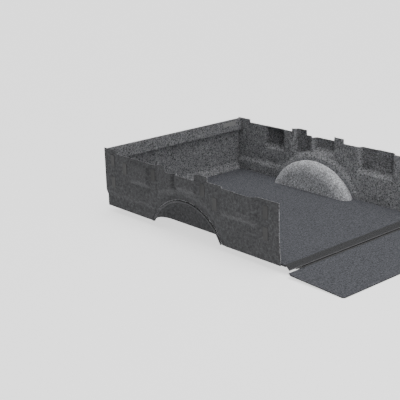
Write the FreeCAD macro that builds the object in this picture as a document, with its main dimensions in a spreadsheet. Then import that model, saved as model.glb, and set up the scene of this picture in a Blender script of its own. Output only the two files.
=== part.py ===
"""Pick-up truck bed liner: moulded wall panels, wheel well covers, a foam-backed floor mat, a tailgate mat.

Row frame, millimetres: +X towards the passenger side, +Y towards the cab, +Z up. The origin is the middle
of the floor mat's underside. A station is a distance behind the bulkhead's face, which stands half the
floor's length ahead of the origin.
Wall pieces are drawn in their own axes (station, outboard, up) and turned into place at the end.
Tailgate pieces are drawn in theirs (x, forward, up from the zipper's mid-plane) and tilt with the open
tailgate.
"""

import FreeCAD
import Part
import Sketcher

import os

X_AXIS = FreeCAD.Vector(1, 0, 0)
Y_AXIS = FreeCAD.Vector(0, 1, 0)
Z_AXIS = FreeCAD.Vector(0, 0, 1)
ORIGIN = FreeCAD.Vector(0, 0, 0)
START, END, CENTRE = 1, 2, 3
SKETCH_ORIGIN = -1

SIZES = [
    ("floor_length", 2050, "floor mat, bulkhead to rear edge"),
    ("floor_half", 768, "half width of the floor mat"),
    ("skin", 4, "textured wear skin"),
    ("floor_foam", 16, "closed-cell foam under the floor skin"),
    ("carpet", 5, "moulded needle-punched carpet"),
    ("backing", 3, "foam backing of the carpet"),
    ("gap", 1, "fitting gap between neighbouring pieces"),
    # side wall section
    ("wall_foot", 771, "inner face at the bed floor"),
    ("kick_face", 771, "inner face at the top of the front kick board"),
    ("kick_low", 102, "height where the front kick board's ledge starts"),
    ("kick_high", 146, "height where that ledge meets the wall"),
    ("slope_high", 240, "height where the wall behind the wheel well stops sloping"),
    ("wall_face", 788, "inner face of the wall"),
    ("wall_far", 900, "outboard end of the construction block"),
    ("wall_top", 515, "top of the tabs under the bed rail"),
    ("wall_front", 50, "how far the wall runs ahead of the bulkhead face"),
    ("wall_end", 2010, "station of the wall's rear edge"),
    ("block_over", 12, "overrun of the construction blocks"),
    # flared arch round the wheel well
    ("arch_station", 970, "arch centre, along the bed"),
    ("arch_drop", 215, "arch centre, below the bed floor"),
    ("arch_radius", 519, "arch radius where its flare starts"),
    ("arch_draft", 44, "how much the flare grows towards the wall"),
    ("arch_face", 769, "inner face of the arch, next to the cover"),
    # wheel well cover
    ("well_station", 980, "wheel well axis, along the bed"),
    ("well_drop", 215, "wheel well axis, below the bed floor"),
    ("well_face", 642, "inner face of the cover, half the width between wheel wells"),
    ("well_shell", 7, "thickness of the cover"),
    ("well_round", 60, "rounding from the inner face to the crown"),
    ("well_flat", 440, "radius where that rounding starts"),
    ("well_fall", 80, "radius of the crown's fall towards the wall"),
    ("well_root", 195, "smallest radius of the cover's face"),
    ("flange_height", 12, "sewing flange behind the wall carpet"),
    ("flange_thick", 4, "thickness of that flange"),
    # bulkhead section, measured forward from its face
    ("bulk_half", 787, "half width of the bulkhead"),
    ("bulk_recess", 42, "how far the lower panel stands back under the header band"),
    ("bulk_kick", 85, "height of the sloping foot"),
    ("bulk_lip_low", 390, "front edge of the band's underside"),
    ("bulk_lip_high", 399, "rear edge of the band's underside"),
    ("bulk_top", 520, "top of the header band"),
    ("bulk_far", 120, "forward end of the construction block"),
    # blank tag on the header band
    ("tag_x", 628, "middle of the tag"),
    ("tag_z", 477, "middle of the tag"),
    ("tag_length", 160, "tag length"),
    ("tag_height", 36, "tag height"),
    ("tag_thick", 2, "tag thickness"),
    ("tag_corner", 6, "corner radius"),
    # hook and loop fasteners
    ("loop_thick", 1.5, "loop patch on the liner"),
    ("hook_thick", 1.5, "adhesive-backed hook patch"),
    ("patch_wide", 50, "patch width"),
    ("patch_long", 100, "patch length"),
    # fold between floor and tailgate
    ("cover_thick", 3, "gap cover thickness"),
    ("cover_run", 38, "how far the gap cover runs back"),
    ("cover_fall", 37, "how far it falls"),
    ("cover_half", 767, "half width of the gap cover"),
    ("cover_fold", 1.2, "half the slit at the fold line"),
    # tailgate mat
    ("gate_y", 1072, "zipper's mid-line, behind the origin"),
    ("gate_z", 22, "zipper's mid-plane, below the origin"),
    ("gate_droop", 2.6, "droop of the open tailgate, degrees"),
    ("mat_half", 810, "half width of the tailgate mat"),
    ("mat_length", 518, "tailgate mat, front to rear"),
    ("mat_front", 9, "front edge behind the zipper's mid-line"),
    ("mat_foam", 9, "foam under the tailgate skin"),
    ("mat_corner", 22, "corner radius of the mat"),
    ("mat_inset", 1.5, "how far the foam stands in from the skin's edge"),
    # zipper
    ("chain_half", 5, "half width of the zipper chain"),
    ("bead", 2, "width of the bead that carries the teeth"),
    ("tooth_pitch", 5, "zipper tooth pitch"),
    ("tooth_wide", 2.1, "tooth width along the chain"),
    ("tooth_stop", 0.9, "how far from the mid-line a tooth stops, to let the slider's post pass"),
    ("chain_high", 1.6, "half thickness of the chain"),
    ("chain_left", 670, "closed end of the chain, driver's side of the middle"),
    ("chain_right", 650, "open end of the chain, passenger side of the middle"),
    ("tape_thick", 1, "woven tape"),
    ("tape_wide", 15, "tape width outside the chain"),
    ("tape_over", 30, "tape beyond each end of the chain"),
    ("slider_x", 655, "slider's rest place, driver's side of the middle"),
    ("slider_long", 22, "slider length"),
    ("slider_half", 6.5, "half width of the slider"),
    ("wing", 2, "thickness of the slider's wings"),
    ("wing_gap", 0.3, "clearance between wings and chain"),
    ("tab_long", 34, "pull tab length beyond its arms"),
    ("tab_half", 6, "half width of the pull tab"),
    ("tab_thick", 1.6, "pull tab thickness"),
    ("pin_high", 5.4, "pull tab's pin above the zipper's mid-plane"),
]

# Pressed-out pockets of the side wall: stations of the mouth, its bottom and top, then how far the back
# stands in from the mouth's front, rear, bottom and top, and the depth.
POCKETS = {
    "corner": dict(front=318, rear=552, low=280, high=476, ends=16, sill=46, head=10, depth=36),
    "fore": dict(front=680, rear=880, low=262, high=560, ends=22, sill=44, head=0, depth=36),
    "mid": dict(front=910, rear=1152, low=340, high=560, ends=14, sill=46, head=0, depth=40),
    "aft": dict(front=1424, rear=1790, low=250, high=560, ends=18, sill=42, head=0, depth=36),
    "cleat": dict(front=1590, rear=1760, low=300, high=560, ends=8, sill=26, head=0, depth=44),
}

# Where the wall stops short of the bed rail: first and last station, and the height of its edge there.
TOP_CUTS = [(112, 655, 487), (800, 1142, 470), (1258, 2040, 474)]

# Middles of the hook and loop patches.
WALL_PATCHES = [
    (70, 420),
    (70, 230),
    (235, 380),
    (610, 400),
    (1205, 400),
    (1345, 320),
    (1880, 380),
    (1880, 220),
]
BULKHEAD_PATCHES = [(-600, 240), (-200, 240), (200, 240), (600, 240)]
BAND_PATCHES = [(-600, 462), (-200, 462), (200, 462), (600, 462)]
MAT_PATCHES = [(x, y) for y in (-90, -440) for x in (-640, -215, 215, 640)]


def make_sheet(doc):
    """The driving dimensions, one named cell each."""
    sheet = doc.addObject("Spreadsheet::Sheet", "Sizes")
    for row, (alias, value, note) in enumerate(SIZES, start=1):
        sheet.set(f"A{row}", note)
        sheet.set(f"B{row}", str(value))
        sheet.setAlias(f"B{row}", alias)
    doc.recompute()
    return sheet


class Liner:
    """The document, its sheet, and the pieces made so far."""

    def __init__(self):
        self.doc = FreeCAD.newDocument("bed_liner")
        self.sheet = make_sheet(self.doc)
        self.pieces = []
        self.known = {alias: value for alias, value, _ in SIZES}

    def value(self, text):
        """What an expression of sheet names comes to."""
        result = self.sheet.evalExpression(with_sheet(text, self.known))
        return float(getattr(result, "Value", result))

    def bind(self, obj, **expressions):
        """Ties properties to the sheet. An underscore pair stands for a dot in a property's path."""
        for name, text in expressions.items():
            obj.setExpression(name.replace("__", "."), with_sheet(str(text), self.known))
        return obj

    def place(self, obj, x="0", y="0", z="0", axis=Z_AXIS, angle="0"):
        obj.Placement = FreeCAD.Placement(ORIGIN, FreeCAD.Rotation(axis, self.value(angle)))
        return self.bind(obj, Placement__Base__x=x, Placement__Base__y=y, Placement__Base__z=z)

    def box(self, name, x, y, z):
        """A block between two expressions on each axis."""
        block = self.doc.addObject("Part::Box", name)
        length, width, height = (f"({high}) - ({low})" for low, high in (x, y, z))
        self.bind(block, Length=length, Width=width, Height=height)
        return self.place(block, x[0], y[0], z[0])

    def join(self, kind, name, parts):
        """A boolean of several objects, or a plain group of separate solids."""
        made = self.doc.addObject(kind, name)
        if kind == "Part::Compound":
            made.Links = parts
        else:
            made.Shapes = parts
        return made

    def cut(self, name, base, tool):
        made = self.doc.addObject("Part::Cut", name)
        made.Base = base
        made.Tool = tool
        return made

    def common(self, name, base, tool):
        made = self.doc.addObject("Part::Common", name)
        made.Base = base
        made.Tool = tool
        return made

    def mirror(self, name, source):
        made = self.doc.addObject("Part::Mirroring", name)
        made.Source = source
        made.Normal = X_AXIS
        made.Base = ORIGIN
        return made

    def piece(self, label, obj):
        """Marks an object as one sub-part of the liner."""
        obj.Label = label
        self.pieces.append(obj)
        return obj

    def body(self, name):
        return self.doc.addObject("PartDesign::Body", name)

    def outline(self, body, plane, corners, arcs=None):
        """A closed sketch on one of a body's own planes, every corner tied to the sheet.

        A corner is (x, y), or (x, y, "x") or (x, y, "y") where an arc settles the other coordinate.
        arcs maps the number of an edge's first corner to (centre x, centre y, radius or None).
        """
        arcs = arcs or {}
        flat = next(f for f in body.Origin.OriginFeatures if f.Role == plane)
        sketch = body.newObject("Sketcher::SketchObject", body.Name + "_outline")
        sketch.AttachmentSupport = [(flat, "")]
        sketch.MapMode = "FlatFace"
        spots = [FreeCAD.Vector(self.value(c[0]), self.value(c[1]), 0) for c in corners]
        ends = []
        for i, start in enumerate(spots):
            stop = spots[(i + 1) % len(spots)]
            if i not in arcs:
                sketch.addGeometry(Part.LineSegment(start, stop))
                ends.append((START, END))
                continue
            centre = FreeCAD.Vector(self.value(arcs[i][0]), self.value(arcs[i][1]), 0)
            turn = (start - centre).cross(stop - centre).z
            first, last = (start, stop) if turn > 0 else (stop, start)
            angles = [FreeCAD.Vector(1, 0, 0).getAngle(p - centre) for p in (first, last)]
            signs = [1 if (p - centre).y >= 0 else -1 for p in (first, last)]
            circle = Part.Circle(centre, Z_AXIS, (start - centre).Length)
            sketch.addGeometry(Part.ArcOfCircle(circle, angles[0] * signs[0], angles[1] * signs[1]))
            ends.append((START, END) if turn > 0 else (END, START))
        for i in range(len(spots)):
            after = (i + 1) % len(spots)
            sketch.addConstraint(Sketcher.Constraint("Coincident", i, ends[i][1], after, ends[after][0]))
        for i, corner in enumerate(corners):
            which = corner[2] if len(corner) > 2 else "xy"
            self.pin(sketch, i, ends[i][0], spots[i], corner, which)
        for i, (cx, cy, radius) in arcs.items():
            centre = FreeCAD.Vector(self.value(cx), self.value(cy), 0)
            self.pin(sketch, i, CENTRE, centre, (cx, cy), "xy")
            if radius is not None:
                made = sketch.addConstraint(Sketcher.Constraint("Radius", i, self.value(radius)))
                sketch.setExpression(f"Constraints[{made}]", with_sheet(radius, self.known))
        return sketch

    def pin(self, sketch, edge, end, spot, texts, which):
        """Holds a point of a sketch at its expressions for x, y or both."""
        ways = (("x", "DistanceX", texts[0], spot.x), ("y", "DistanceY", texts[1], spot.y))
        for letter, kind, text, value in ways:
            if letter not in which:
                continue
            made = sketch.addConstraint(Sketcher.Constraint(kind, SKETCH_ORIGIN, START, edge, end, value))
            sketch.setExpression(f"Constraints[{made}]", with_sheet(text, self.known))

    def pad(self, name, plane, corners, length, arcs=None, middle=False):
        """A body made of one outline pushed out along its plane's normal."""
        body = self.body(name)
        sketch = self.outline(body, plane, corners, arcs)
        made = body.newObject("PartDesign::Pad", name + "_pad")
        made.Profile = sketch
        made.Midplane = middle
        self.bind(made, Length=length)
        return body


def with_sheet(text, known):
    """Puts the sheet's name before each of its aliases in an expression."""
    words = []
    word = ""
    for letter in str(text) + " ":
        if letter.isalnum() or letter == "_" or (letter == "." and word[:1].isdigit()):
            word += letter
            continue
        words.append(f"Sizes.{word}" if word in known else word)
        words.append(letter)
        word = ""
    return "".join(words).strip()


def wall_frame(liner, obj):
    """Turns a wall piece from its own axes into the row frame, on the passenger side."""
    return liner.place(obj, y="floor_length / 2", axis=Z_AXIS, angle="-90")


def gate_frame(liner, obj):
    """Puts a tailgate piece on the drooping tailgate."""
    return liner.place(obj, y="-gate_y", z="-gate_z", axis=X_AXIS, angle="gate_droop")


# ---- side walls ----------------------------------------------------------------------------------


def pocket(liner, name, inset, size):
    """One pressed-out pocket with drafted sides, as the space it leaves in the construction block."""
    spread = f"0.6 * ({inset})"
    made = liner.doc.addObject("Part::Wedge", name)
    front, rear, low, high = size["front"], size["rear"], size["low"], size["high"]
    liner.bind(
        made,
        Xmin=f"{front} - {spread}",
        Xmax=f"{rear} + {spread}",
        Zmin=f"{low} - {spread}",
        Zmax=f"{high} + {spread}",
        X2min=f"{front + size['ends']} - {spread}",
        X2max=f"{rear - size['ends']} + {spread}",
        Z2min=f"{low + size['sill']} - {spread}",
        Z2max=f"{high - size['head']} + {spread}",
        Ymin=f"wall_face + {inset}",
        Ymax=f"wall_face + {size['depth']} + {inset}",
    )
    return made


def wall_block(liner, name, inset):
    """Everything outboard of the wall's surface, moved outboard by an inset."""
    low, high = "-block_over", "wall_top + block_over"
    foot = [(f"wall_foot + {inset}", low), (f"wall_foot + {inset}", "0")]
    kick = [
        (f"kick_face + {inset}", f"kick_low - 0.5 * ({inset})"),
        (f"wall_face + {inset}", f"kick_high - 0.5 * ({inset})"),
    ]
    slope = [(f"wall_face + {inset}", "slope_high")]
    rest = [(f"wall_face + {inset}", high), ("wall_far", high), ("wall_far", low)]
    fore_length = "wall_front + arch_station + block_over"
    fore = liner.pad(name + "_fore_slab", "YZ_Plane", foot + kick + rest, fore_length)
    liner.place(fore, x="-wall_front - block_over")
    aft_length = "wall_end + block_over - arch_station"
    aft = liner.pad(name + "_aft_slab", "YZ_Plane", foot + slope + rest, aft_length)
    liner.place(aft, x="arch_station")
    arch = liner.doc.addObject("Part::Cone", name + "_arch")
    liner.bind(
        arch,
        Radius1=f"arch_radius - 0.6 * ({inset})",
        Radius2=f"arch_radius + arch_draft - 0.6 * ({inset})",
        Height="wall_face - arch_face + 2",
    )
    liner.place(arch, "arch_station", f"arch_face + {inset}", "-arch_drop", axis=X_AXIS, angle="-90")
    solid = liner.join("Part::MultiFuse", name + "_solid", [fore, aft, arch])
    pockets = [pocket(liner, f"{name}_{which}", inset, size) for which, size in POCKETS.items()]
    return liner.cut(name, solid, liner.join("Part::MultiFuse", name + "_pockets", pockets))


def wall_trim(liner, name, hole):
    """The outline of a wall layer: its ends, the edge under the bed rail, and the wheel well's hole."""
    blank = liner.box(
        name + "_blank",
        ("-wall_front", "wall_end"),
        ("wall_foot - block_over", "wall_far + block_over"),
        ("0", "wall_top"),
    )
    cuts = []
    for number, (first, last, height) in enumerate(TOP_CUTS):
        span = (str(first), str(last))
        depth = ("wall_foot - 2 * block_over", "wall_far + 2 * block_over")
        cuts.append(liner.box(f"{name}_edge{number}", span, depth, (str(height), "wall_top + block_over")))
    well = liner.doc.addObject("Part::Cylinder", name + "_well")
    liner.bind(well, Radius=hole, Height="300")
    liner.place(well, "well_station", "wall_foot - 100", "-well_drop", axis=X_AXIS, angle="-90")
    return liner.cut(name, blank, liner.join("Part::MultiFuse", name + "_cuts", [*cuts, well]))


def well_edge():
    """Radius where the cover's crown passes through the wall carpet."""
    reach = "arch_face - well_face - well_round"
    return f"(well_flat + well_round - well_fall + sqrt(well_fall ^ 2 - ({reach}) ^ 2))"


def side_walls(liner):
    """Carpet and foam backing of both walls."""
    face = wall_block(liner, "wall_face_block", "0")
    middle = wall_block(liner, "wall_middle_block", "carpet")
    back = wall_block(liner, "wall_back_block", "carpet + backing")
    layers = [
        ("side_carpet", face, middle, f"{well_edge()} + gap"),
        ("side_foam_backing", middle, back, f"{well_edge()} + flange_height + gap"),
    ]
    for label, outer, inner, hole in layers:
        sheet = liner.cut(label + "_layer", outer, inner)
        right = liner.common(label + "_right", sheet, wall_trim(liner, label + "_trim", hole))
        wall_frame(liner, right)
        liner.piece("right_" + label, right)
        liner.piece("left_" + label, liner.mirror(label + "_left", right))


# ---- wheel well covers ---------------------------------------------------------------------------


def well_profile(offset):
    """Corners and arcs of the cover's outer surface, from the inner face to where it meets the wall."""
    crown_x = "well_face + well_round"
    crown_r = f"well_flat + well_round + {offset}"
    fall_centre = "well_flat + well_round - well_fall"
    corners = [
        (f"well_face - {offset}", "well_root"),
        (f"well_face - {offset}", "well_flat", "y"),
        (crown_x, crown_r, "x"),
    ]
    arcs = {1: (crown_x, "well_flat", f"well_round + {offset}"), 2: (crown_x, fall_centre, None)}
    return corners, arcs, crown_x, fall_centre


def well_cover(liner):
    """A moulded shell turned about the wheel's axis, with a flange sewn behind the wall carpet."""
    corners, arcs, crown_x, fall_centre = well_profile("0")
    edge = well_edge()
    inner_x = "arch_face - 2"
    inner_reach = f"({inner_x} - {crown_x.replace('+', '-')})"
    inner_edge = f"({fall_centre} + sqrt((well_fall - well_shell) ^ 2 - {inner_reach} ^ 2))"
    flange_x = "arch_face + carpet"
    corners += [
        ("arch_face", edge, "x"),
        (flange_x, edge),
        (flange_x, f"{edge} + flange_height"),
        (f"{flange_x} + flange_thick", f"{edge} + flange_height"),
        (f"{flange_x} + flange_thick", inner_edge),
        (inner_x, inner_edge, "x"),
        (crown_x, "well_flat + well_round - well_shell", "x"),
        ("well_face + well_shell", "well_flat", "y"),
        ("well_face + well_shell", "well_root"),
    ]
    arcs[8] = (crown_x, fall_centre, "well_fall - well_shell")
    arcs[9] = (crown_x, "well_flat", None)
    body = liner.body("well_cover")
    sketch = liner.outline(body, "XZ_Plane", corners, arcs)
    turn = body.newObject("PartDesign::Revolution", "well_cover_turn")
    turn.Profile = sketch
    turn.ReferenceAxis = (sketch, ["H_Axis"])
    turn.Angle = 360
    return liner.place(body, y="floor_length / 2 - well_station", z="-well_drop")


def well_space(liner):
    """The cover's solid outer form with a fitting gap, which the floor mat is cut round."""
    corners, arcs, _, _ = well_profile("gap")
    corners += [
        ("arch_face", f"{well_edge()} + gap", "x"),
        ("wall_face + 20", f"{well_edge()} - 14"),
        ("wall_face + 20", "well_root"),
    ]
    body = liner.body("well_space")
    sketch = liner.outline(body, "XZ_Plane", corners, arcs)
    turn = body.newObject("PartDesign::Revolution", "well_space_turn")
    turn.Profile = sketch
    turn.ReferenceAxis = (sketch, ["H_Axis"])
    turn.Angle = 360
    return liner.place(body, y="floor_length / 2 - well_station", z="-well_drop")


def wheel_well_covers(liner):
    """Both covers, trimmed level with the bed floor."""
    above = liner.box("above_floor", ("0", "wall_far"), ("-1000", "1000"), ("0", "wall_top"))
    right = liner.common("well_cover_right", well_cover(liner), above)
    liner.piece("right_wheel_well_cover", right)
    liner.piece("left_wheel_well_cover", liner.mirror("well_cover_left", right))


# ---- bulkhead ------------------------------------------------------------------------------------


def bulkhead_block(liner, name, inset):
    """Everything forward of the bulkhead's surface, moved forward by an inset."""
    section = [
        (f"1.1 * ({inset})", "0"),
        (f"bulk_recess + {inset}", f"bulk_kick - 0.23 * ({inset})"),
        (f"bulk_recess + {inset}", f"bulk_lip_low + {inset}"),
        (f"0 + {inset}", f"bulk_lip_high + {inset}"),
        (f"0 + {inset}", "bulk_top"),
        ("bulk_far", "bulk_top"),
        ("bulk_far", "0"),
    ]
    return liner.pad(name, "YZ_Plane", section, "2 * bulk_half", middle=True)


def bulkhead(liner):
    """Carpet and foam backing of the front panel, with its overhanging header band."""
    blocks = [
        bulkhead_block(liner, "bulk_face", "0"),
        bulkhead_block(liner, "bulk_middle", "carpet"),
        bulkhead_block(liner, "bulk_back", "carpet + backing"),
    ]
    for label, outer, inner in (
        ("bulkhead_carpet", blocks[0], blocks[1]),
        ("bulkhead_foam_backing", blocks[1], blocks[2]),
    ):
        corner = [
            liner.box(
                f"{label}_corner{side}",
                sorted_span(side, "wall_foot - gap", "wall_far"),
                ("-10", "wall_front + gap"),
                ("-10", "kick_high + gap"),
            )
            for side in (-1, 1)
        ]
        tool = liner.join("Part::MultiFuse", label + "_corners", [inner, *corner])
        made = liner.cut(label + "_cut", outer, tool)
        liner.place(made, y="floor_length / 2")
        liner.piece(label, made)


def sorted_span(side, near, far):
    """A span on one side of the middle, lowest end first."""
    return (near, far) if side > 0 else (f"-({far})", f"-({near})")


def tag(liner):
    """The blank tag on the header band."""
    half = "(tag_length / 2)"
    rise = "(tag_height / 2)"
    corners = [
        (f"-{half}", f"-{rise}"),
        (half, f"-{rise}"),
        (half, rise),
        (f"-{half}", rise),
    ]
    body = liner.pad("tag", "XZ_Plane", corners, "tag_thick")
    liner.doc.recompute()
    plate = body.Tip
    upright = [f"Edge{i + 1}" for i, e in enumerate(plate.Shape.Edges) if abs(e.tangentAt(0).y) > 0.9]
    made = body.newObject("PartDesign::Fillet", "tag_corners")
    made.Base = (plate, upright)
    liner.bind(made, Radius="tag_corner")
    liner.place(body, "tag_x", "floor_length / 2", "tag_z")
    liner.piece("blank_tag", body)


# ---- floor mat -----------------------------------------------------------------------------------


def floor_mat(liner):
    """Skin and foam of the floor, cut round both wheel well covers."""
    space = well_space(liner)
    wells = liner.join("Part::MultiFuse", "well_spaces", [space, liner.mirror("well_space_left", space)])
    width = ("-floor_half", "floor_half")
    rear = "-floor_length / 2"
    layers = [
        ("floor_foam", ("0", "floor_foam"), "floor_length / 2 - gap"),
        ("floor_skin", ("floor_foam", "floor_foam + skin"), "floor_length / 2 - gap"),
    ]
    for label, height, front in layers:
        blank = liner.box(label + "_blank", width, (rear, front), height)
        liner.piece(label, liner.cut(label, blank, wells))


# ---- fold between the floor and the tailgate -----------------------------------------------------


def gap_cover(liner):
    """The cover over the tailgate gap: a front strip on the floor and a rear strip on the tailgate.

    Both lie on one slope, and the slit between them is the fold line.
    """
    top, rear = "(floor_foam + skin)", "(-floor_length / 2)"
    slope = "(cover_fall / cover_run)"
    drop = "(cover_thick * sqrt(cover_run ^ 2 + cover_fall ^ 2) / cover_run)"
    half = "(cover_run / 2)"
    spans = {
        "gap_cover_front_strip": ("0", f"({half} - cover_fold)"),
        "gap_cover_rear_strip": (f"({half} + cover_fold)", "cover_run"),
    }
    for label, (near, far) in spans.items():
        corners = [
            (f"{rear} - {near}", f"{top} - {slope} * {near}"),
            (f"{rear} - {far}", f"{top} - {slope} * {far}"),
            (f"{rear} - {far}", f"{top} - {slope} * {far} - {drop}"),
            (f"{rear} - {near}", f"{top} - {slope} * {near} - {drop}"),
        ]
        strip = liner.pad(label + "_strip", "YZ_Plane", corners, "2 * cover_half", middle=True)
        if label.startswith("gap_cover_rear"):
            width = ("-cover_half - 10", "cover_half + 10")
            depth = ("0", "chain_half + tape_wide + 10")
            under = liner.box("under_cover_seat", width, depth, ("-12", "tape_thick / 2"))
            strip = liner.cut(label + "_seated", strip, gate_group(liner, "cover_seat", [under]))
        liner.piece(label, strip)


# ---- tailgate mat --------------------------------------------------------------------------------


def rounded_plate(liner, name, inset, low, height):
    """A mat layer between two heights, with rounded corners."""
    half = f"(mat_half - {inset})"
    front = f"(-mat_front - {inset})"
    rear = f"(-mat_front - mat_length + {inset})"
    corners = [(f"-{half}", rear), (half, rear), (half, front), (f"-{half}", front)]
    body = liner.pad(name, "XY_Plane", corners, height)
    liner.doc.recompute()
    plate = body.Tip
    upright = [f"Edge{i + 1}" for i, e in enumerate(plate.Shape.Edges) if abs(e.tangentAt(0).z) > 0.9]
    made = body.newObject("PartDesign::Fillet", name + "_corners")
    made.Base = (plate, upright)
    liner.bind(made, Radius=f"mat_corner - {inset}")
    return liner.place(body, z=low)


def tailgate_mat(liner):
    """Skin and foam of the tailgate mat. The foam has a rebate for the zipper's rear tape."""
    skin = rounded_plate(liner, "mat_skin", "0", "tape_thick / 2", "skin")
    holder = liner.join("Part::Compound", "tailgate_skin", [skin])
    liner.piece("tailgate_skin", gate_frame(liner, holder))
    low = "tape_thick / 2 - mat_foam"
    foam = rounded_plate(liner, "mat_foam_plate", "mat_inset", low, "mat_foam")
    rebate = liner.box(
        "tape_rebate",
        ("-mat_half - 10", "mat_half + 10"),
        ("-chain_half - tape_wide - gap", "0"),
        ("-tape_thick / 2 - 0.1", "tape_thick"),
    )
    liner.piece("tailgate_foam", gate_frame(liner, liner.cut("tailgate_foam", foam, rebate)))


# ---- zipper --------------------------------------------------------------------------------------


def zipper_tapes_and_teeth(liner):
    """A tape and a row of teeth on each side of the zipper's mid-line."""
    tape = ("-chain_left - tape_over", "chain_right + tape_over")
    flat = ("-tape_thick / 2", "tape_thick / 2")
    for label, side in (("front", 1), ("rear", -1)):
        row = tooth_row(liner, f"teeth_{label}", side)
        liner.piece(f"zipper_teeth_{label}", gate_group(liner, f"zipper_teeth_{label}", [row]))
        edge = sorted_span(side, "chain_half", "chain_half + tape_wide")
        strip = liner.box(f"tape_{label}", tape, edge, flat)
        liner.piece(f"zipper_tape_{label}", gate_group(liner, f"zipper_tape_{label}", [strip]))


def tooth_row(liner, name, side):
    """A bead along the tape's edge with teeth that stop short of the mid-line, staggered with the other row."""
    lead = "tooth_pitch" if side > 0 else "1.5 * tooth_pitch"
    bead_y = sorted_span(side, "chain_half - bead", "chain_half")
    tooth_y = sorted_span(side, "tooth_stop", "chain_half - bead / 2")
    body = liner.body(name)
    bead = block_pad(liner, body, name + "_bead", ("-chain_left", "chain_right"), bead_y, "chain_high")
    first = (f"-chain_left + {lead}", f"-chain_left + {lead} + tooth_wide")
    tooth = block_pad(liner, body, name + "_tooth", first, tooth_y, "2 * chain_high", middle=True)
    liner.doc.recompute()
    pattern = body.newObject("PartDesign::LinearPattern", name + "_teeth")
    pattern.Originals = [tooth]
    pattern.Direction = (next(f for f in body.Origin.OriginFeatures if f.Role == "X_Axis"), [""])
    liner.bind(pattern, Occurrences="floor((chain_left + chain_right - 3 * tooth_pitch) / tooth_pitch)")
    gaps = "(floor((chain_left + chain_right - 3 * tooth_pitch) / tooth_pitch) - 1)"
    liner.bind(pattern, Length=f"{gaps} * tooth_pitch")
    body.Tip = pattern
    return body


def block_pad(liner, body, name, x, y, thickness, middle=True):
    """A rectangle on a body's XY plane, padded both ways."""
    corners = [(x[0], y[0]), (x[1], y[0]), (x[1], y[1]), (x[0], y[1])]
    sketch = liner.outline(body, "XY_Plane", corners)
    made = body.newObject("PartDesign::Pad", name)
    made.Profile = sketch
    made.Midplane = middle
    liner.bind(made, Length=thickness)
    return made


def gate_group(liner, name, parts):
    """Separate solids of one tailgate piece, put in place together."""
    return gate_frame(liner, liner.join("Part::Compound", name + "_group", parts))


def zipper_ends(liner):
    """Stops at the closed end, and the retainer box at the open end."""
    stops = [
        liner.box(
            f"stop{side}",
            ("-chain_left - 5", "-chain_left - 0.5"),
            sorted_span(side, "0.4", "chain_half"),
            ("-chain_high - 0.4", "chain_high + 0.4"),
        )
        for side in (-1, 1)
    ]
    liner.piece("zipper_top_stops", gate_group(liner, "zipper_top_stops", stops))
    box = liner.box(
        "retainer",
        ("chain_right + 0.5", "chain_right + 12"),
        ("-chain_half", "chain_half"),
        ("-chain_high - 1", "chain_high + 1"),
    )
    liner.piece("zipper_retainer_box", gate_group(liner, "zipper_retainer_box", [box]))


def slider(liner):
    """Two wings over and under the chain, side flanges, the splitting post, and the bridge for the tab."""
    half = "(slider_long / 2)"
    across = ("-slider_half", "slider_half")
    inner = "(chain_high + wing_gap)"
    outer = "(chain_high + wing_gap + wing)"
    parts = []
    for name, side in (("upper", 1), ("lower", -1)):
        parts.append(liner.box(f"wing_{name}", (f"-{half}", half), across, sorted_span(side, inner, outer)))
        for edge in (-1, 1):
            rail = sorted_span(edge, "chain_half + wing_gap", "slider_half")
            height = sorted_span(side, "tape_thick", inner)
            parts.append(liner.box(f"rail_{name}{edge}", (f"-{half}", half), rail, height))
    post = liner.box("post", (f"{half} - 5", f"{half} - 1"), ("-0.7", "0.7"), (f"-{inner}", inner))
    bar = liner.box("bridge_bar", ("-5.5", "5.5"), ("-1.5", "1.5"), ("pin_high + 1.2", "pin_high + 2.7"))
    legs = [
        liner.box(f"bridge_leg{end}", sorted_span(end, "4", "5.5"), ("-1.5", "1.5"), (outer, "pin_high + 2.7"))
        for end in (-1, 1)
    ]
    solid = liner.join("Part::MultiFuse", "zipper_slider_body", [*parts, post, bar, *legs])
    solid.Refine = True
    holder = liner.join("Part::Compound", "zipper_slider_place", [solid])
    liner.place(solid, x="-slider_x")
    liner.piece("zipper_slider", gate_frame(liner, holder))


def pull_tab(liner):
    """A pin under the slider's bridge, two arms and the gripped plate, laid towards the driver's side."""
    pin = liner.doc.addObject("Part::Cylinder", "tab_pin")
    liner.bind(pin, Radius="tab_thick / 2", Height="2 * tab_half - 2")
    liner.place(pin, "0", "tab_half - 1", "pin_high", axis=X_AXIS, angle="90")
    height = ("pin_high - tab_thick / 2", "pin_high + tab_thick / 2")
    arms = [
        liner.box(f"tab_arm{side}", ("-9", "0"), sorted_span(side, "tab_half - 3", "tab_half - 1"), height)
        for side in (-1, 1)
    ]
    plate = liner.box("tab_plate", ("-9 - tab_long", "-9"), ("-tab_half", "tab_half"), height)
    length = ("-3 - tab_long", "-9 - tab_long / 2")
    hole = liner.box("tab_hole", length, ("-tab_half / 2", "tab_half / 2"), ("0", "20"))
    frame = liner.join("Part::MultiFuse", "tab_solid", [pin, *arms, plate])
    tab = liner.cut("tab_cut", frame, hole)
    liner.place(tab, x="-slider_x")
    holder = liner.join("Part::Compound", "zipper_pull_tab_place", [tab])
    liner.piece("zipper_pull_tab", gate_frame(liner, holder))


# ---- hook and loop fasteners ---------------------------------------------------------------------


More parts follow.
